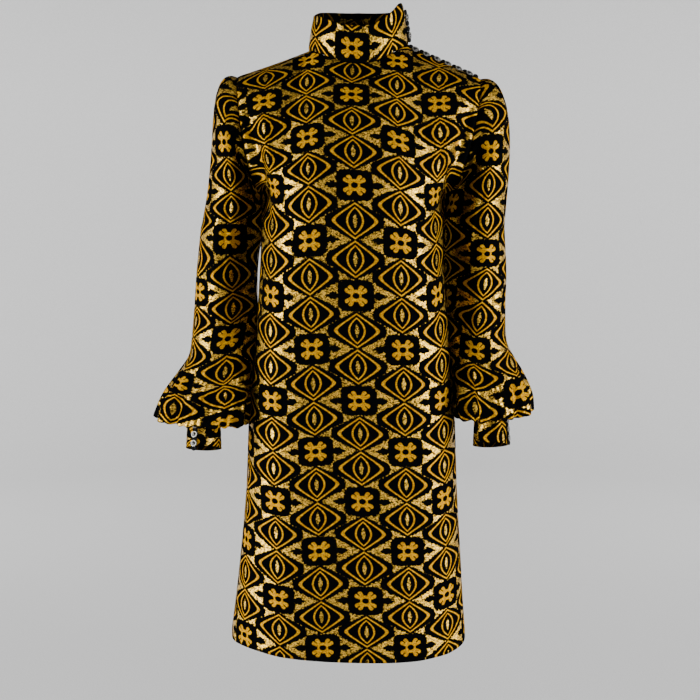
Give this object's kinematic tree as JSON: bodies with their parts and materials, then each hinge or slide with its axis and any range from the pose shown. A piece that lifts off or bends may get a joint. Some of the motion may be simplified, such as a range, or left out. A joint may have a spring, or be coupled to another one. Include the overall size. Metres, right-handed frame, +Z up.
{
  "type": "cocktail dress",
  "caption": "Knee-length A-line shift dress in metallic brocade with standing collar, bishop sleeves, buttoned cuffs and a buttoned left shoulder, hollow as worn.",
  "frame": {"origin": "between the shoulders, level with the base of the neck, where the wearer holds the dress up", "axes": "+Z up, the front faces -Y, +X is the wearer's left"},
  "size_m": [0.5839, 0.2497, 0.9881],
  "materials": {
    "brocade": "black ground woven with satin gold and grainy metallic gold yarn",
    "button": "glossy black round button",
    "stones": "ring of small clear stones in pale metal",
    "loop": "black rolled cloth loop and sewing thread"
  },
  "bodies": {
    "root": {"front": "brocade", "back": "brocade", "sleeve_right": "brocade", "sleeve_left": "brocade", "cuff_right": "brocade", "cuff_left": "brocade", "collar": "brocade", "button_collar_1": "button", "button_collar_2": "button", "button_shoulder_1": "button", "button_shoulder_2": "button", "button_shoulder_3": "button", "button_shoulder_4": "button", "button_shoulder_5": "button", "button_shoulder_6": "button", "button_cuff_right_1": "button", "button_cuff_right_2": "button", "button_cuff_right_3": "button", "button_cuff_left_1": "button", "button_cuff_left_2": "button", "button_cuff_left_3": "button"}
  },
  "joints": []
}
